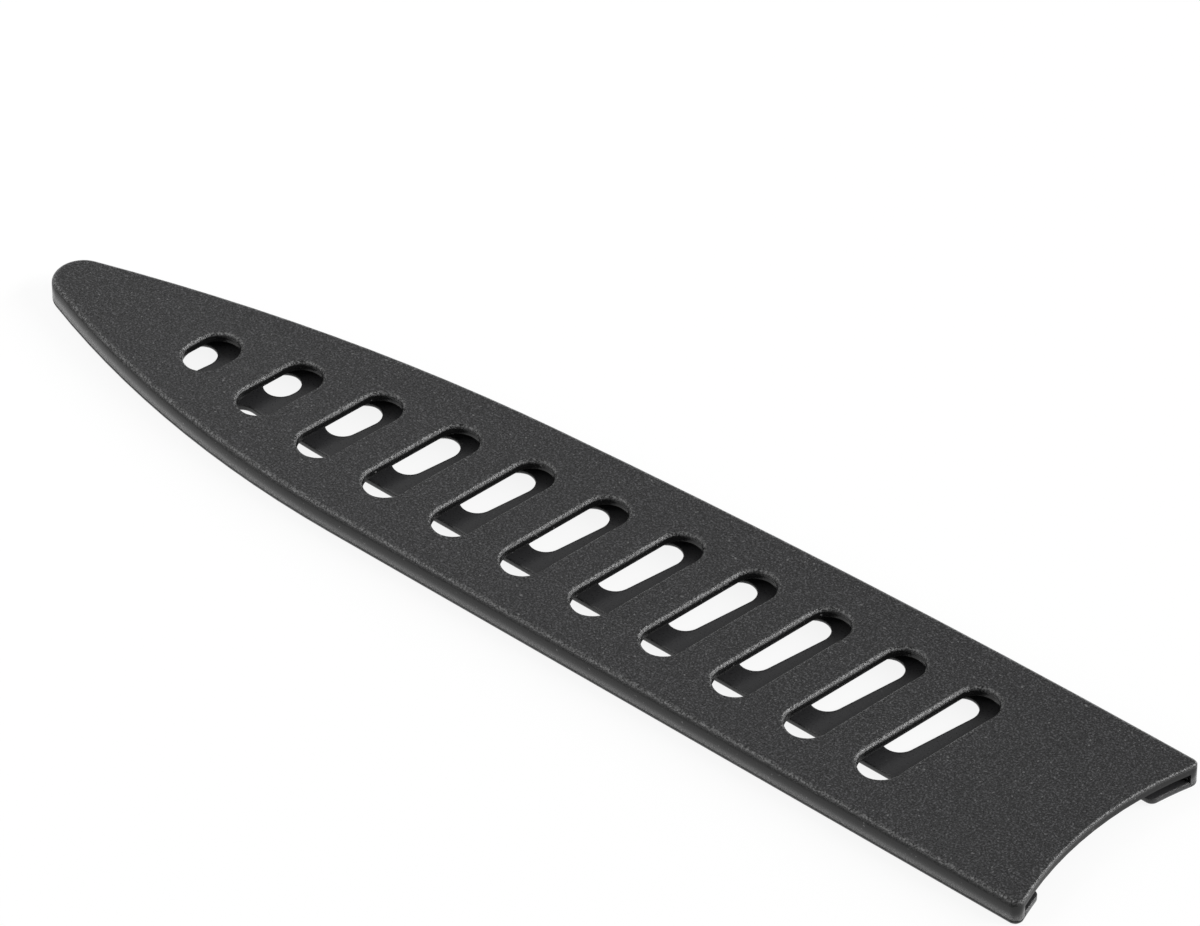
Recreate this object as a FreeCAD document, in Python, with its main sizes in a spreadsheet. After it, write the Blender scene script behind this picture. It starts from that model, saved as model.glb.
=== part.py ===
"""Blade guard for a kitchen knife: a slotted front plate and its side wall, closed by a slotted rear plate.

Sizes are in millimetres. The guard lies on its rear face. X runs along the blade with the mouth at +X, Y
runs from the spine side to the cutting-edge side, and Z is up. The origin is at the middle of the footprint,
on the surface that the guard lies on.
"""
import FreeCAD
import Part
import Sketcher

import math
import os

# Driving dimensions: lengths in millimetres, slants in degrees.
SIZES = {
    # Outline, seen from above
    "length": 137.8,
    "width": 28.15,
    "spine_straight": 89.8,      # straight run of the spine side, from the mouth
    "belly_straight": 5.6,       # straight run of the cutting-edge side, from the mouth
    "belly_turn": 80.9,          # from the mouth to where the cutting-edge side starts to turn in
    "belly_radius": 1000.0,      # long gentle curve between those two
    "nose_radius": 3.25,
    "nose_drop": 2.83,           # tip below the middle of the width
    "mouth_radius": 43.5,        # hollow of the curved mouth
    "mouth_depth": 2.1,          # its deepest point from the end
    "mouth_shift": 0.7,          # its middle towards the spine side
    "mouth_corner": 0.9,
    # Thickness, from the front face to the rear face
    "front_plate": 1.05,
    "blade_gap": 1.05,
    "rear_plate": 0.8,
    "side_wall": 1.4,
    # Slots of the front plate
    "slot_pitch": 9.31,
    "slot_setback": 22.55,       # last slot from the mouth, on the middle line
    "slot_margin": 5.2,          # slot ends from the outline
    "slot_row_shift": 0.2,       # row of slots towards the spine side
    "front_slot_width": 4.65,
    "front_slot_slant": 7.4,
    "least_slot_run": 0.2,       # a slot with a shorter straight run is left out
    # Slots, slit and mouth cut-back of the rear plate
    "rear_slot_pitch": 9.25,
    "rear_slot_width": 3.7,
    "rear_slot_slant": 12.0,
    "rear_slot_shift": 2.75,     # towards the tip from the front slots
    "rear_slot_margin": 4.22,
    "rear_row_shift": 1.42,
    "slit_margin": 4.65,         # strip between the slit and the spine side
    "slit_width": 3.6,
    "slit_tip_gap": 27.5,        # between the slit's end and the tip
    "slit_bent_run": 12.0,       # end of the slit that bends with the spine side
    "slit_bend": 126.0,          # radius of its edge there
    "rail_width": 2.85,          # between the slit and the rear slots
    "notch_depth": 11.0,         # cut-back between the lips, from the mouth
    "notch_corner": 3.0,
    "lip_width": 6.0,            # lip on the cutting-edge side
    "lip_corner": 0.9,
    # Stepped joint between the side wall and the rear plate
    "flange": 0.45,              # edge of the rear plate that carries the wall
    "joint_clearance": 0.1,
    "seam_chamfer": 0.1,
    # Rounded and bevelled edges
    "rim_round": 0.65,           # front edge at the sides and the tip
    "mouth_round": 0.2,          # front edge along the mouth
    "rear_round": 0.35,
    "front_slot_bevel": 0.28,
    "rear_slot_bevel": 0.5,
    "rounded_share": 0.8,        # most of a plate's thickness that its softened edges take
    "least_radius": 0.3,         # tightest inside corner at the tip
    # How far cutting shapes run past what they cut
    "overrun": 5.0,
}

PAST_MOUTH = "Sizes.length / 2 + Sizes.overrun"
MOUTH_BOTTOM = "Sizes.length / 2 - Sizes.mouth_depth"
MOUTH_CENTRE = f"{MOUTH_BOTTOM} + Sizes.mouth_radius"
FIRST_SLOT = "Sizes.length / 2 - Sizes.slot_setback"
MOST_FRONT_ROUND = "Sizes.front_plate * Sizes.rounded_share"
MOST_REAR_ROUND = "Sizes.flange * Sizes.rounded_share"
MOST_REAR_BEVEL = "Sizes.rear_plate * Sizes.rounded_share"
TOLERANCE = 1e-4

document = FreeCAD.newDocument("blade_guard")
sheet = document.addObject("Spreadsheet::Sheet", "Sizes")


def fill_sheet():
    """Writes the driving dimensions to the sheet, one named cell each."""
    for row, (alias, number) in enumerate(SIZES.items(), start=1):
        sheet.set(f"A{row}", alias)
        sheet.set(f"B{row}", str(number))
        sheet.setAlias(f"B{row}", alias)
    document.recompute()


def value(formula):
    """Number that a formula of the sheet's sizes gives now."""
    return float(sheet.evalExpression(formula))


def point(x, y):
    return FreeCAD.Vector(x, y, 0)


# Bodies, sketches and features

def new_body(label, height):
    """Body whose own base plane lies at the given height."""
    body = document.addObject("PartDesign::Body", label)
    body.Label = label
    body.setExpression("Placement.Base.z", height)
    return body


def new_sketch(body, name, height="0"):
    sketch = body.newObject("Sketcher::SketchObject", name)
    plane = next(item for item in body.Origin.OriginFeatures if item.Role == "XY_Plane")
    sketch.AttachmentSupport = (plane, [""])
    sketch.MapMode = "FlatFace"
    sketch.setExpression("AttachmentOffset.Base.z", height)
    return sketch


def dimension(sketch, formula, kind, *place):
    """Adds a dimension to a sketch and binds it to a formula of the sheet."""
    number = sketch.addConstraint(Sketcher.Constraint(kind, *place, value(formula)))
    sketch.setExpression(f"Constraints[{number}]", formula)


def relate(sketch, kind, *place):
    sketch.addConstraint(Sketcher.Constraint(kind, *place))


def pad(body, sketch, name, height):
    feature = body.newObject("PartDesign::Pad", name)
    feature.Profile = sketch
    feature.setExpression("Length", height)
    document.recompute()
    return feature


def pocket(body, sketch, name, depth=None, upward=False):
    """Cuts a sketch to a depth, or right through, and makes sure that something was cut."""
    before = body.Shape.Volume
    feature = body.newObject("PartDesign::Pocket", name)
    feature.Profile = sketch
    feature.Reversed = upward
    if depth is None:
        feature.Type = "ThroughAll"
    else:
        feature.setExpression("Length", depth)
    document.recompute()
    if body.Shape.Volume > before - TOLERANCE:
        raise ValueError(f"{name} cuts nothing")
    return feature


def soften(body, kind, name, edges, size):
    """Rounds (Fillet) or bevels (Chamfer) some edges of a body."""
    base = body.Tip
    names = [f"Edge{number}" for number, edge in enumerate(base.Shape.Edges, start=1)
             if any(edge.isSame(wanted) for wanted in edges)]
    feature = body.newObject(f"PartDesign::{kind}", name)
    feature.Base = (base, names)
    feature.setExpression("Radius" if kind == "Fillet" else "Size", size)
    document.recompute()
    return feature


def flat_face(body, height):
    """Largest face of a body's own shape that lies flat at a height."""
    flat = [face for face in body.Tip.Shape.Faces
            if isinstance(face.Surface, Part.Plane) and abs(face.Surface.Axis.z) > 1 - TOLERANCE
            and abs(face.CenterOfMass.z - height) < TOLERANCE]
    return max(flat, key=lambda face: face.Area)


def hole_edges(body, height):
    """Edges of all the holes in the flat face at a height."""
    face = flat_face(body, height)
    return [edge for wire in face.Wires if not wire.isSame(face.OuterWire) for edge in wire.Edges]


# The guard's outline

def tangent_arc(start, inward, nose, nose_radius):
    """Centre and radius of the arc that leaves a point square to its inward normal and meets the nose."""
    reach = start - nose
    radius = (nose_radius ** 2 - reach.dot(reach)) / (2 * (reach.dot(inward) + nose_radius))
    return start + inward * radius, radius


def arc(centre, radius, start, end):
    """Arc that runs anticlockwise about its centre from one point to another."""
    first = math.atan2(start.y - centre.y, start.x - centre.x)
    last = math.atan2(end.y - centre.y, end.x - centre.x)
    circle = Part.Circle(centre, FreeCAD.Vector(0, 0, 1), radius)
    return Part.ArcOfCircle(circle, first, last)


def draw_sides(sketch, mouth_end, inset="0"):
    """Draws the outline's two sides and the tip, or ones set in from them.

    They run anticlockwise: cutting-edge side, tip, spine side. Returns the first piece and the last.
    """
    half_width = f"Sizes.width / 2 - ({inset})"
    nose_radius = f"max(Sizes.nose_radius - ({inset}); Sizes.least_radius)"
    belly_radius = f"Sizes.belly_radius - ({inset})"
    belly_start = "Sizes.length / 2 - Sizes.belly_straight"
    belly_share = "(Sizes.belly_turn - Sizes.belly_straight) / Sizes.belly_radius"
    belly_run = f"({belly_radius}) * ({belly_share})"
    nose_back = "Sizes.length / 2 - Sizes.nose_radius"
    spine_start = "Sizes.length / 2 - Sizes.spine_straight"

    half = value(half_width)
    end = value(mouth_end)
    nose = point(-value(nose_back), -value("Sizes.nose_drop"))
    tip_radius = value(nose_radius)
    spine_point = point(value(spine_start), -half)
    spine_centre, spine_radius = tangent_arc(spine_point, point(0, 1), nose, tip_radius)
    belly_point = point(value(belly_start), half)
    belly_centre = belly_point - point(0, value(belly_radius))
    share = value(belly_share)
    outward = point(-share, math.sqrt(1 - share ** 2))
    turn_point = belly_centre + outward * value(belly_radius)
    turn_centre, turn_radius = tangent_arc(turn_point, outward * -1, nose, tip_radius)
    nose_top = nose + (nose - turn_centre).normalize() * tip_radius
    nose_bottom = nose + (nose - spine_centre).normalize() * tip_radius

    far, belly, turn, tip, drop, spine = sketch.addGeometry([
        Part.LineSegment(point(end, half), belly_point),
        arc(belly_centre, value(belly_radius), belly_point, turn_point),
        arc(turn_centre, turn_radius, turn_point, nose_top),
        arc(nose, tip_radius, nose_top, nose_bottom),
        arc(spine_centre, spine_radius, nose_bottom, spine_point),
        Part.LineSegment(spine_point, point(end, -half)),
    ])
    smooth_run = [far, belly, turn, tip, drop, spine]
    for this, following in zip(smooth_run, smooth_run[1:]):
        relate(sketch, "Tangent", this, 2, following, 1)
    relate(sketch, "Horizontal", far)
    relate(sketch, "Horizontal", spine)
    dimension(sketch, half_width, "DistanceY", -1, 1, far, 1)
    dimension(sketch, half_width, "DistanceY", spine, 2, -1, 1)
    dimension(sketch, nose_radius, "Radius", tip)
    dimension(sketch, nose_back, "DistanceX", tip, 3, -1, 1)
    dimension(sketch, "Sizes.nose_drop", "DistanceY", tip, 3, -1, 1)
    dimension(sketch, belly_radius, "Radius", belly)
    dimension(sketch, belly_start, "DistanceX", -1, 1, belly, 1)
    dimension(sketch, belly_run, "DistanceX", belly, 2, belly, 1)
    dimension(sketch, f"{spine_start} + ({nose_back})", "DistanceX", tip, 3, spine, 1)
    return far, spine


def draw_straight_end(sketch, mouth_end, inset):
    """Draws the sides and the tip, closed by a straight line at the mouth end."""
    far, spine = draw_sides(sketch, mouth_end, inset)
    half = value(f"Sizes.width / 2 - ({inset})")
    end = value(mouth_end)
    mouth = sketch.addGeometry(Part.LineSegment(point(end, -half), point(end, half)))
    relate(sketch, "Coincident", spine, 2, mouth, 1)
    relate(sketch, "Coincident", mouth, 2, far, 1)
    relate(sketch, "Vertical", mouth)
    dimension(sketch, mouth_end, "DistanceX", -1, 1, mouth, 1)


def mouth_centre():
    """Middle of the arc that the mouth follows."""
    return point(value(MOUTH_CENTRE), -value("Sizes.mouth_shift"))


def draw_outline(sketch):
    """Draws the whole outline: the sides, the tip and the hollow mouth with its two round corners."""
    far, spine = draw_sides(sketch, MOUTH_BOTTOM)
    hollow = mouth_centre()
    hollow_radius = value("Sizes.mouth_radius")
    corner_radius = value("Sizes.mouth_corner")
    corner_offset = value("Sizes.width / 2 - Sizes.mouth_corner")

    def corner_centre(y):
        return point(hollow.x - math.sqrt((hollow_radius + corner_radius) ** 2 - (y - hollow.y) ** 2), y)

    near_corner = corner_centre(-corner_offset)
    far_corner = corner_centre(corner_offset)
    near_point = hollow + (near_corner - hollow).normalize() * hollow_radius
    far_point = hollow + (far_corner - hollow).normalize() * hollow_radius
    near, mouth, beyond = sketch.addGeometry([
        arc(near_corner, corner_radius, near_corner - point(0, corner_radius), near_point),
        arc(hollow, hollow_radius, far_point, near_point),
        arc(far_corner, corner_radius, far_point, far_corner + point(0, corner_radius)),
    ])
    relate(sketch, "Tangent", spine, 2, near, 1)
    relate(sketch, "Tangent", near, 2, mouth, 2)
    relate(sketch, "Tangent", mouth, 1, beyond, 1)
    relate(sketch, "Tangent", beyond, 2, far, 1)
    relate(sketch, "Equal", near, beyond)
    dimension(sketch, "Sizes.mouth_corner", "Radius", near)
    dimension(sketch, "Sizes.mouth_radius", "Radius", mouth)
    dimension(sketch, MOUTH_CENTRE, "DistanceX", -1, 1, mouth, 3)
    dimension(sketch, "Sizes.mouth_shift", "DistanceY", mouth, 3, -1, 1)


# Rows of slanted slots

def slot_zone(outline, margin, width, shift):
    """Area inside the outline where the middles of a slot's round ends may lie."""
    zone = Part.Face(outline.Shape.makeOffset2D(-value(f"{margin} + {width} / 2")))
    zone.translate(point(0, -value(shift)))
    return zone


def slot_ends(zone, x, slant):
    """Middles of a slot's two round ends, or nothing where the zone leaves no room for the slot."""
    reach = value("Sizes.width")
    lean = reach * math.tan(math.radians(value(slant)))
    axis = Part.makeLine(point(x - lean, -reach), point(x + lean, reach))
    runs = [edge for edge in axis.common(zone).Edges if edge.Length > value("Sizes.least_slot_run")]
    if not runs:
        return None
    longest = max(runs, key=lambda edge: edge.Length)
    return sorted((vertex.Point for vertex in longest.Vertexes), key=lambda place: place.y)


def draw_slots(sketch, zone, first, pitch, width, slant):
    """Draws a row of round-ended slots from the mouth towards the tip, wherever the zone has room."""
    radius = value(f"{width} / 2")
    places = math.floor(value(f"Sizes.length / {pitch}"))
    drawn = []
    for number in range(places):
        ends = slot_ends(zone, value(f"{first} - {number} * {pitch}"), slant)
        if ends:
            drawn.append(draw_slot(sketch, *ends, radius, slant))
    dimension(sketch, f"{width} / 2", "Radius", drawn[0])
    for near_end in drawn[1:]:
        relate(sketch, "Equal", near_end, drawn[0])


def draw_slot(sketch, near, far, radius, slant):
    """Draws one slot between the middles of its two round ends, and returns its near end."""
    across = (far - near).normalize().cross(FreeCAD.Vector(0, 0, 1)) * radius
    near_end, side, far_end, other_side = sketch.addGeometry([
        arc(near, radius, near - across, near + across),
        Part.LineSegment(near + across, far + across),
        arc(far, radius, far + across, far - across),
        Part.LineSegment(far - across, near - across),
    ])
    run = [near_end, side, far_end, other_side]
    for this, following in zip(run, run[1:] + run[:1]):
        relate(sketch, "Tangent", this, 2, following, 1)
    relate(sketch, "Equal", near_end, far_end)
    dimension(sketch, f"90deg - {slant} * 1deg", "Angle", side)
    relate(sketch, "DistanceX", -1, 1, near_end, 3, near.x)
    relate(sketch, "DistanceY", -1, 1, near_end, 3, near.y)
    relate(sketch, "DistanceY", -1, 1, far_end, 3, far.y)
    return near_end


# Front plate and side wall, which are one moulding

def build_front_plate():
    """Flat slotted plate with a rounded rim."""
    body = new_body("slotted_plate", "Sizes.rear_plate + Sizes.blade_gap")
    outline = new_sketch(body, "front_outline")
    draw_outline(outline)
    pad(body, outline, "front_block", "Sizes.front_plate")
    width = "Sizes.front_slot_width"
    slots = new_sketch(body, "front_slot_row", "Sizes.front_plate")
    zone = slot_zone(outline, "Sizes.slot_margin", width, "Sizes.slot_row_shift")
    draw_slots(slots, zone, FIRST_SLOT, "Sizes.slot_pitch", width, "Sizes.front_slot_slant")
    pocket(body, slots, "front_slots")
    edges = hole_edges(body, value("Sizes.front_plate"))
    soften(body, "Chamfer", "front_slot_bevels", edges, f"min(Sizes.front_slot_bevel; {MOST_FRONT_ROUND})")
    return round_rim(body)


def round_rim(plate):
    """Rounds the front rim: less along the mouth, with a smooth change-over round each mouth corner."""
    side_radius = value(f"min(Sizes.rim_round; {MOST_FRONT_ROUND})")
    mouth_radius = value(f"min(Sizes.mouth_round; {MOST_FRONT_ROUND})")
    rim = flat_face(plate, value("Sizes.front_plate")).OuterWire.Edges

    def radius_at(place):
        from_centre = (point(place.x, place.y) - mouth_centre()).Length
        on_mouth = abs(from_centre - value("Sizes.mouth_radius")) < TOLERANCE
        return mouth_radius if on_mouth else side_radius

    rounding = []
    for number, edge in enumerate(plate.Tip.Shape.Edges, start=1):
        if any(edge.isSame(wanted) for wanted in rim):
            start, end = (edge.valueAt(parameter) for parameter in edge.ParameterRange)
            rounding.append((number, radius_at(start), radius_at(end)))
    rounded = document.addObject("Part::Fillet", "rounded_plate")
    rounded.Label = "front_plate"
    rounded.Base = plate
    rounded.Edges = rounding
    document.recompute()
    return rounded


def build_side_wall():
    """Wall round the tip and both sides that holds the plates apart, open at the mouth."""
    body = new_body("side_wall", "Sizes.flange")
    height = "Sizes.rear_plate - Sizes.flange + Sizes.blade_gap"
    outline = new_sketch(body, "wall_outline")
    draw_outline(outline)
    pad(body, outline, "wall_block", height)
    hollow = new_sketch(body, "blade_outline", height)
    draw_straight_end(hollow, PAST_MOUTH, "Sizes.side_wall")
    pocket(body, hollow, "blade_hollow")
    seam = [edge for edge in flat_face(body, 0).Edges if lies_along(edge, outline.Shape)]
    soften(body, "Chamfer", "seam_bevel", seam, "Sizes.seam_chamfer")
    return body


def lies_along(edge, outline):
    """Whether the middle of an edge lies on an outline drawn at the body's base."""
    middle = edge.valueAt((edge.FirstParameter + edge.LastParameter) / 2)
    return Part.Vertex(point(middle.x, middle.y)).distToShape(outline)[0] < TOLERANCE


# Rear plate

def build_rear_plate():
    """Thin plate that closes the back, stepped all round so that it sits inside the wall."""
    body = new_body("rear_plate", "0")
    outline = new_sketch(body, "plate_outline")
    draw_outline(outline)
    pad(body, outline, "plate", "Sizes.rear_plate")
    step = new_sketch(body, "step_outline", "Sizes.rear_plate")
    draw_surround(step)
    draw_straight_end(step, PAST_MOUTH, "Sizes.side_wall + Sizes.joint_clearance")
    pocket(body, step, "step", "Sizes.rear_plate - Sizes.flange")

    slit = new_sketch(body, "slit_outline")
    draw_slit(slit)
    pocket(body, slit, "slit_and_cut_back", upward=True)
    lip_corners = [edge for edge in body.Tip.Shape.Edges if at_lip(edge)]
    soften(body, "Fillet", "lip_corners", lip_corners, "Sizes.lip_corner")

    width = "Sizes.rear_slot_width"
    slots = new_sketch(body, "rear_slot_row", "Sizes.rear_plate")
    rail = Part.Face(slit.Shape).makeOffset2D(value(f"Sizes.rail_width + {width} / 2"))
    zone = slot_zone(outline, "Sizes.rear_slot_margin", width, "Sizes.rear_row_shift").cut(rail)
    first = f"{FIRST_SLOT} - Sizes.rear_slot_shift"
    draw_slots(slots, zone, first, "Sizes.rear_slot_pitch", width, "Sizes.rear_slot_slant")
    pocket(body, slots, "rear_slots")
    rim = flat_face(body, 0).OuterWire.Edges
    soften(body, "Fillet", "rear_rounding", rim, f"min(Sizes.rear_round; {MOST_REAR_ROUND})")
    edges = hole_edges(body, 0)
    soften(body, "Chamfer", "rear_slot_bevels", edges, f"min(Sizes.rear_slot_bevel; {MOST_REAR_BEVEL})")
    return body


def at_lip(edge):
    """Whether an edge is the upright inner corner of one of the mouth's two lips."""
    box = edge.BoundBox
    upright = box.XLength < TOLERANCE and box.YLength < TOLERANCE
    inside = max(abs(box.YMin), abs(box.YMax)) < value("Sizes.width / 2 - Sizes.slit_margin") + TOLERANCE
    return upright and inside and box.XMin > value(MOUTH_BOTTOM)


def draw_surround(sketch):
    """Draws a rectangle that lies well outside the outline all round."""
    reach = "Sizes.length / 2 + 2 * Sizes.overrun"
    left, right = -value(reach), value(reach)
    half = value("Sizes.width")
    corners = [point(left, -half), point(right, -half), point(right, half), point(left, half)]
    near, end, far, back = sketch.addGeometry([
        Part.LineSegment(this, following) for this, following in zip(corners, corners[1:] + corners[:1])])
    for this, following in ((near, end), (end, far), (far, back), (back, near)):
        relate(sketch, "Coincident", this, 2, following, 1)
    relate(sketch, "Horizontal", near)
    relate(sketch, "Horizontal", far)
    relate(sketch, "Vertical", end)
    relate(sketch, "Vertical", back)
    dimension(sketch, reach, "DistanceX", near, 1, -1, 1)
    dimension(sketch, reach, "DistanceX", -1, 1, end, 1)
    dimension(sketch, "Sizes.width", "DistanceY", near, 1, -1, 1)
    dimension(sketch, "Sizes.width", "DistanceY", -1, 1, far, 1)


def draw_slit(sketch):
    """Draws the slit beside the spine and the wide cut-back between the lips that it opens into."""
    half_slit = "Sizes.slit_width / 2"
    end_middle = f"-Sizes.length / 2 + Sizes.slit_tip_gap + {half_slit}"
    bend_start = f"{end_middle} + Sizes.slit_bent_run"
    rail_bend = "Sizes.slit_bend - Sizes.slit_width"
    notch_end = "Sizes.length / 2 - Sizes.notch_depth"
    lip_edge = "Sizes.width / 2 - Sizes.lip_width"
    spine_strip = "Sizes.width / 2 - Sizes.slit_margin"

    right = value(PAST_MOUTH)
    bend = value(bend_start)
    end = value(notch_end)
    near = -value(spine_strip)
    rail = near + value("Sizes.slit_width")
    lip = value(lip_edge)
    corner = value("Sizes.notch_corner")
    tongue = point(end - corner, rail + corner)
    near_radius = value("Sizes.slit_bend")
    rail_radius = value(rail_bend)
    centre = point(bend, near + near_radius)
    lean = value("Sizes.slit_bent_run") / (near_radius - value(half_slit))
    outward = point(-lean, -math.sqrt(1 - lean ** 2))
    near_end = centre + outward * near_radius
    rail_end = centre + outward * rail_radius
    spine_line, near_arc, end_arc, rail_arc, rail_line = sketch.addGeometry([
        Part.LineSegment(point(bend, near), point(right, near)),
        arc(centre, near_radius, near_end, point(bend, near)),
        arc((near_end + rail_end) / 2, value(half_slit), rail_end, near_end),
        arc(centre, rail_radius, rail_end, point(bend, rail)),
        Part.LineSegment(point(bend, rail), point(end - corner, rail)),
    ])
    tongue_arc, notch_line, lip_arc, lip_line, past = sketch.addGeometry([
        arc(tongue, corner, tongue - point(0, corner), tongue + point(corner, 0)),
        Part.LineSegment(tongue + point(corner, 0), point(end, lip - corner)),
        arc(point(end + corner, lip - corner), corner, point(end + corner, lip), point(end, lip - corner)),
        Part.LineSegment(point(right, lip), point(end + corner, lip)),
        Part.LineSegment(point(right, near), point(right, lip)),
    ])
    relate(sketch, "Tangent", near_arc, 2, spine_line, 1)
    relate(sketch, "Tangent", end_arc, 2, near_arc, 1)
    relate(sketch, "Tangent", end_arc, 1, rail_arc, 1)
    relate(sketch, "Tangent", rail_arc, 2, rail_line, 1)
    relate(sketch, "Tangent", rail_line, 2, tongue_arc, 1)
    relate(sketch, "Tangent", tongue_arc, 2, notch_line, 1)
    relate(sketch, "Tangent", notch_line, 2, lip_arc, 2)
    relate(sketch, "Tangent", lip_arc, 1, lip_line, 2)
    relate(sketch, "Coincident", lip_line, 1, past, 2)
    relate(sketch, "Coincident", past, 1, spine_line, 2)
    relate(sketch, "Coincident", near_arc, 3, rail_arc, 3)
    relate(sketch, "Horizontal", spine_line)
    relate(sketch, "Horizontal", rail_line)
    relate(sketch, "Horizontal", lip_line)
    relate(sketch, "Vertical", past)
    relate(sketch, "Vertical", notch_line)
    relate(sketch, "Equal", tongue_arc, lip_arc)
    dimension(sketch, "Sizes.notch_corner", "Radius", tongue_arc)
    dimension(sketch, "Sizes.slit_bend", "Radius", near_arc)
    dimension(sketch, rail_bend, "Radius", rail_arc)
    dimension(sketch, spine_strip, "DistanceY", spine_line, 1, -1, 1)
    dimension(sketch, "Sizes.slit_bent_run", "DistanceX", end_arc, 3, near_arc, 2)
    dimension(sketch, f"{PAST_MOUTH} - ({bend_start})", "DistanceX", spine_line, 1, spine_line, 2)
    dimension(sketch, PAST_MOUTH, "DistanceX", -1, 1, past, 1)
    dimension(sketch, notch_end, "DistanceX", -1, 1, notch_line, 1)
    dimension(sketch, lip_edge, "DistanceY", -1, 1, lip_line, 1)


def write_parts(bodies):
    """Checks every object and solid, then writes each piece to its own file."""
    document.recompute()
    for item in document.Objects:
        if "Invalid" in item.State or "Error" in item.State:
            raise ValueError(f"{item.Name} failed: {item.State}")
    for body in bodies:
        if body.Shape.isNull() or not body.Shape.isValid() or len(body.Shape.Solids) != 1:
            raise ValueError(f"{body.Label} isn't one valid solid")
    os.makedirs("parts", exist_ok=True)
    for body in bodies:
        body.Shape.exportStep(f"parts/{body.Label}.step")
        print(body.Label, "volume", round(body.Shape.Volume, 1), "box", body.Shape.BoundBox)


fill_sheet()
write_parts([build_front_plate(), build_side_wall(), build_rear_plate()])
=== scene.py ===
"""Looks for the knife blade guard: two charcoal plastic mouldings on a white studio floor.

Lengths are in metres, in the frame of the CAD model.
"""
import math

import bpy
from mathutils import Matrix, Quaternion, Vector

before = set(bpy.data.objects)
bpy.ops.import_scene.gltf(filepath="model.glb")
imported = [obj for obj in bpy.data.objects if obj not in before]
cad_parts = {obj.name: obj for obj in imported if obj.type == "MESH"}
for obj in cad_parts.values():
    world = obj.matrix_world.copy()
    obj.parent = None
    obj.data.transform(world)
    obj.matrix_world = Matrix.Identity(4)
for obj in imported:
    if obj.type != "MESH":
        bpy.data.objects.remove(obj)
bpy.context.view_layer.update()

MM = 0.001
WHITE = (1, 1, 1, 1)

# Camera
CAMERA_AIM = Vector((-5.09, 9.70, 2.9)) * MM
CAMERA_DISTANCE = 915.6 * MM
CAMERA_TURN = math.radians(40.92)
CAMERA_RISE = math.radians(40)
CAMERA_LENS = 270
CAMERA_SENSOR = 36

# Light and floor
WORLD_LEVEL = 0.36
FLOOR_SIZE = 6
FLOOR_DROP = 0.05 * MM
FLOOR_TONE = 0.95
SHADOW_SHARE = 0.12            # how much of the shadow shows

# Plastic
GRAIN = 0.21 * MM
GRAIN_DETAIL = 2
SPECK = 0.4 * MM
SPECK_DETAIL = 1
SPECK_SHARE = 0.55             # how far a speck goes towards the light tone of specks and painted highlights
NOISE_ROUGHNESS = 0.6
BLUE_CAST = 1.04               # blue of the charcoal tones against their red and green
SHINE = 0.4

# Levels of the noise at which something sets in and is complete
# The sparkle levels break the painted edge highlight and the painted floor reflection into glints.
SPARKLE_LEVELS = (0.42, 0.68)
SPECK_LEVELS = (0.72, 0.76)
DULL_LEVELS = (0.2, 0.7)

# Edges, rounded and polished by handling
EDGE_WIDTH = 0.35 * MM
EDGE_SAMPLES = 6
EDGE_POLISH = 0.16             # roughness that an edge loses
EDGE_RELIEF = 0.5              # share of the grain's relief that an edge keeps

# Outside wall: heights at which something sets in and is complete
# The edge heights keep the rounded shading and the painted edge highlight to the top edge.
EDGE_HEIGHTS = (2.55 * MM, 2.8 * MM)
# Heights over which the wall's low grain and painted shade give way to the grained face
GRAIN_AND_SHADE_HEIGHTS = (2.35 * MM, 2.7 * MM)
# Heights over which the lower wall is lightened as a painted reflection of the floor
PAINTED_REFLECTION_HEIGHTS = (1.4 * MM, 0.4 * MM)
WALL_GRAIN_AND_SHADE = 0.15              # share of the grain that the wall keeps; less grain also darkens the wall as painted shade
SWELL_MIDDLE = 1.6 * MM
SWELL_RADIUS = 2.4 * MM


# Camera, lamps and world

def direction(turn, rise):
    """Unit vector that points from the guard to something at this turn from -Y towards +X and this rise."""
    flat = math.cos(rise)
    return Vector((math.sin(turn) * flat, -math.cos(turn) * flat, math.sin(rise)))


def look_at(thing, target, roll=0):
    """Turn a camera or a lamp so that it faces the target, with its top up or rolled to one side."""
    facing = (target - thing.location).to_track_quat("-Z", "Y")
    thing.rotation_euler = (facing @ Quaternion((0, 0, 1), roll)).to_euler()


def add_object(name, data):
    """New object in the scene."""
    made = bpy.data.objects.new(name, data)
    bpy.context.scene.collection.objects.link(made)
    return made


def place_camera():
    data = bpy.data.cameras.new("camera")
    data.lens = CAMERA_LENS
    data.sensor_width = CAMERA_SENSOR
    camera = add_object("camera", data)
    camera.location = CAMERA_AIM + direction(CAMERA_TURN, CAMERA_RISE) * CAMERA_DISTANCE
    look_at(camera, CAMERA_AIM)
    bpy.context.scene.camera = camera


def add_softbox(name, turn, rise, distance, width, height, level, roll=0):
    """Soft lamp that faces the guard and whose surface is as bright as the level. Angles are in degrees."""
    data = bpy.data.lights.new(name, "AREA")
    data.shape = "RECTANGLE"
    data.size = width
    data.size_y = height
    data.energy = level * math.pi * width * height
    lamp = add_object(name, data)
    lamp.location = direction(math.radians(turn), math.radians(rise)) * distance
    look_at(lamp, Vector((0, 0, 0)), math.radians(roll))


def light_world():
    world = bpy.data.worlds.new("studio")
    bpy.context.scene.world = world
    world.use_nodes = True
    sky = world.node_tree.nodes["Background"]
    sky.inputs["Color"].default_value = WHITE
    sky.inputs["Strength"].default_value = WORLD_LEVEL


# Shader nodes

def feed(tree, socket, source):
    """Link an input socket to another node's output, or set it to a plain value."""
    if isinstance(source, bpy.types.NodeSocket):
        tree.links.new(source, socket)
    else:
        socket.default_value = source


def add_node(tree, kind, **inputs):
    """New shader node with its input sockets fed by name."""
    made = tree.nodes.new(kind)
    for name, source in inputs.items():
        feed(tree, made.inputs[name.replace("_", " ")], source)
    return made


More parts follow.
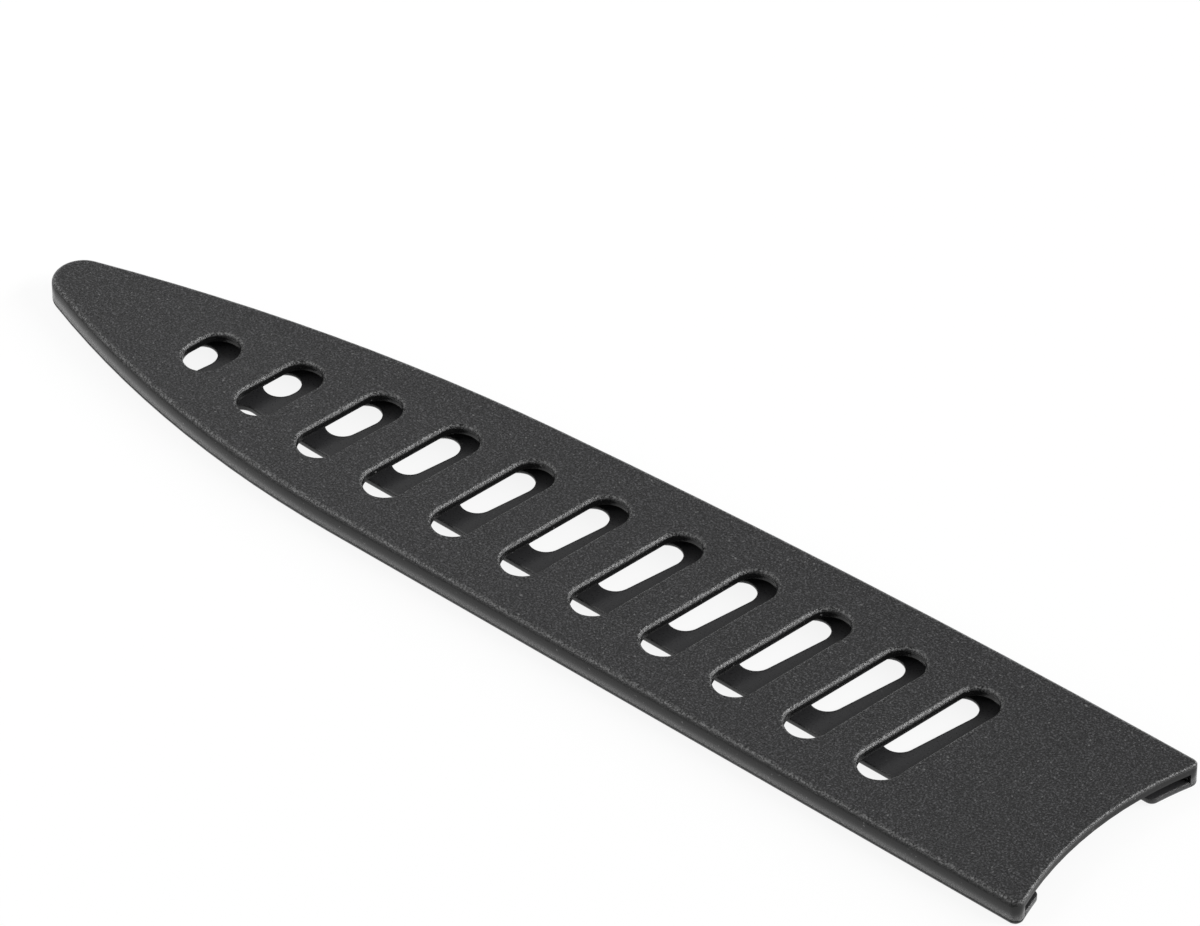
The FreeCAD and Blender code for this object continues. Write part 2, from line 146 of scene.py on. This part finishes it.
def math_node(tree, operation, first, second):
    """Result of an arithmetic operation on two sources."""
    made = tree.nodes.new("ShaderNodeMath")
    made.operation = operation
    feed(tree, made.inputs[0], first)
    feed(tree, made.inputs[1], second)
    return made.outputs[0]


def mixed(tree, kind, share, first, second):
    """Mix of two vectors or colours that goes to the second as the share goes to 1."""
    made = tree.nodes.new("ShaderNodeMix")
    made.data_type = kind
    feed(tree, made.inputs["Factor"], share)
    feed(tree, made.inputs["A"], first)
    feed(tree, made.inputs["B"], second)
    return made.outputs["Result"]


def span(tree, source, start, end, low, high):
    """Source value taken from the range start to end into the range low to high, and held there."""
    made = add_node(tree, "ShaderNodeMapRange", Value=source,
                    From_Min=start, From_Max=end, To_Min=low, To_Max=high)
    return made.outputs["Result"]


def noise(tree, place, grain, detail):
    """Fine noise with grains of about this size."""
    made = add_node(tree, "ShaderNodeTexNoise", Vector=place,
                    Scale=1 / grain, Detail=detail, Roughness=NOISE_ROUGHNESS)
    return made.outputs["Fac"]


def upward(tree, vector):
    """Upward part of a place or a direction."""
    return add_node(tree, "ShaderNodeSeparateXYZ", Vector=vector).outputs["Z"]


def grey(tone):
    return (tone, tone, tone, 1)


def ramp(tree, source, stops):
    """Charcoal colour ramp on a source value, from (place, tone) stops."""
    made = add_node(tree, "ShaderNodeValToRGB", Fac=source)
    band = made.color_ramp
    while len(band.elements) < len(stops):
        band.elements.new(1)
    for element, (place, tone) in zip(band.elements, stops):
        element.position = place
        element.color = (tone, tone, tone * BLUE_CAST, 1)
    return made.outputs["Color"]


# Floor

def seen_directly(tree):
    """Value that is 1 for what the camera, a reflection or a clear piece looks at, and 0 for other light."""
    rays = tree.nodes.new("ShaderNodeLightPath").outputs
    seen = math_node(tree, "MAXIMUM", rays["Is Camera Ray"], rays["Is Glossy Ray"])
    return math_node(tree, "MAXIMUM", seen, rays["Is Transmission Ray"])


def floor_material():
    """White floor that the camera and reflections see as white, with a little of the shadow left."""
    material = bpy.data.materials.new("floor")
    material.use_nodes = True
    tree = material.node_tree
    tree.nodes.clear()
    paint = add_node(tree, "ShaderNodeBsdfDiffuse", Color=grey(FLOOR_TONE))
    glow = add_node(tree, "ShaderNodeEmission", Color=WHITE, Strength=1)
    share = math_node(tree, "MULTIPLY", seen_directly(tree), 1 - SHADOW_SHARE)
    blend = add_node(tree, "ShaderNodeMixShader", Fac=share)
    feed(tree, blend.inputs[1], paint.outputs[0])
    feed(tree, blend.inputs[2], glow.outputs[0])
    add_node(tree, "ShaderNodeOutputMaterial", Surface=blend.outputs[0])
    return material


def lay_floor():
    half = FLOOR_SIZE / 2
    corners = [(-half, -half, 0), (half, -half, 0), (half, half, 0), (-half, half, 0)]
    mesh = bpy.data.meshes.new("floor")
    mesh.from_pydata(corners, [], [(0, 1, 2, 3)])
    mesh.materials.append(floor_material())
    floor = add_object("floor", mesh)
    floor.location.z = -FLOOR_DROP


# Plastic

def rounded_edges(tree):
    """Surface direction with every edge rounded."""
    made = add_node(tree, "ShaderNodeBevel", Radius=EDGE_WIDTH)
    made.samples = EDGE_SAMPLES
    return made.outputs["Normal"]


def edge_polish_and_highlight_mask(tree, normal):
    """Value that is 1 halfway round an edge, where the product is a quarter, and 0 on flats and walls. It
    places the painted highlight along the edges and their polish.
    """
    up = upward(tree, normal)
    square = math_node(tree, "MULTIPLY", up, up)
    slant = math_node(tree, "MULTIPLY", square, math_node(tree, "SUBTRACT", 1, square))
    return math_node(tree, "MULTIPLY", slant, 4)


def wall_swell(tree, height):
    """Relief that swells the wall between its edges: an arc falls by half the square over its radius."""
    on_wall = math_node(tree, "MINIMUM", height, EDGE_HEIGHTS[0])
    away = math_node(tree, "SUBTRACT", SWELL_MIDDLE, on_wall)
    square = math_node(tree, "MULTIPLY", away, away)
    return math_node(tree, "MULTIPLY", square, -0.5 / SWELL_RADIUS)


def grain_relief(tree, grain, edge_polish_and_highlight, relief):
    """Height of the grain, lower where an edge is worn."""
    return math_node(tree, "MULTIPLY", grain, span(tree, edge_polish_and_highlight, 0, 1, relief, EDGE_RELIEF * relief))


def plastic_roughness(tree, grain, edge_polish_and_highlight, roughness):
    """Roughness that rises with the grain and drops where an edge is polished."""
    dull = span(tree, grain, *DULL_LEVELS, *roughness)
    return math_node(tree, "SUBTRACT", dull, math_node(tree, "MULTIPLY", edge_polish_and_highlight, EDGE_POLISH))


def plastic(name, tones, speck_and_painted_light_tone, roughness, relief, has_wall):
    """Charcoal plastic: fine grain in tone, gloss and relief, a few light specks, polished edges with a
    painted highlight, and on the wall painted shade and a painted reflection of the floor.
    """
    material = bpy.data.materials.new(name)
    material.use_nodes = True
    tree = material.node_tree
    place = tree.nodes.new("ShaderNodeTexCoord").outputs["Object"]
    normal = rounded_edges(tree)
    edge_polish_and_highlight = edge_polish_and_highlight_mask(tree, normal)
    grain = noise(tree, place, GRAIN, GRAIN_DETAIL)
    sparkle = span(tree, grain, *SPARKLE_LEVELS, 0, 1)
    specks_and_painted_light = span(tree, noise(tree, place, SPECK, SPECK_DETAIL), *SPECK_LEVELS, 0, SPECK_SHARE)

    # The wall keeps its flat shading and little grain, which darkens its colour as painted shade; its lower
    # edge is lightened as a painted reflection of the floor, and its painted edge highlight is kept to the
    # top edge.
    if has_wall:
        height = upward(tree, place)
        upper = span(tree, height, *EDGE_HEIGHTS, 0, 1)
        flat = tree.nodes.new("ShaderNodeNewGeometry").outputs["Normal"]
        normal = mixed(tree, "VECTOR", upper, flat, normal)
        edge_polish_and_highlight = math_node(tree, "MULTIPLY", edge_polish_and_highlight, upper)
        # Painted shade: less grain on the wall takes its colour down to the darkest tone.
        grain = math_node(tree, "MULTIPLY", grain, span(tree, height, *GRAIN_AND_SHADE_HEIGHTS, WALL_GRAIN_AND_SHADE, 1))
        # Painted reflection of the floor: the lower wall is lightened towards the light tone, in glints.
        painted_floor_reflection = math_node(tree, "MULTIPLY", span(tree, height, *PAINTED_REFLECTION_HEIGHTS, 0, 1), sparkle)
        specks_and_painted_light = math_node(tree, "MAXIMUM", specks_and_painted_light, painted_floor_reflection)

    # Painted highlight: edges halfway round are lightened towards the light tone, in glints.
    specks_and_painted_light = math_node(tree, "MAXIMUM", specks_and_painted_light, math_node(tree, "MULTIPLY", edge_polish_and_highlight, sparkle))
    lift = grain_relief(tree, grain, edge_polish_and_highlight, relief)
    if has_wall:
        lift = math_node(tree, "ADD", lift, wall_swell(tree, height))
    bump = add_node(tree, "ShaderNodeBump", Strength=1, Distance=1, Height=lift, Normal=normal)

    shader = tree.nodes["Principled BSDF"]
    colour = mixed(tree, "RGBA", specks_and_painted_light, ramp(tree, grain, tones), grey(speck_and_painted_light_tone))
    feed(tree, shader.inputs["Base Color"], colour)
    feed(tree, shader.inputs["Roughness"], plastic_roughness(tree, grain, edge_polish_and_highlight, roughness))
    feed(tree, shader.inputs["Specular IOR Level"], SHINE)
    feed(tree, shader.inputs["Normal"], bump.outputs["Normal"])
    return material


def dress(node_name, material):
    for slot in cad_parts[node_name].material_slots:
        slot.material = material


bpy.context.scene.view_settings.view_transform = "Standard"
place_camera()
light_world()
lay_floor()
# The long lamp draws the light line along the mouth and the slots. The others lift the near side and the tip.
add_softbox("right_softbox", turn=131, rise=29, distance=1.2, width=1.15, height=0.35, level=12, roll=-24)
add_softbox("left_softbox", turn=-38, rise=35, distance=0.45, width=0.3, height=0.3, level=2)
add_softbox("tip_softbox", turn=-100, rise=45, distance=0.3, width=0.2, height=0.2, level=1.5)

front_plastic = plastic("front_plastic", tones=[(0.3, 0.006), (0.52, 0.018), (0.68, 0.08)], speck_and_painted_light_tone=0.22,
                        roughness=(0.22, 0.42), relief=0.14 * MM, has_wall=True)
rear_plastic = plastic("rear_plastic", tones=[(0.3, 0.027), (0.7, 0.036)], speck_and_painted_light_tone=0.1,
                       roughness=(0.24, 0.34), relief=0.008 * MM, has_wall=False)
dress("front_plate", front_plastic)
dress("side_wall", front_plastic)
dress("rear_plate", rear_plastic)
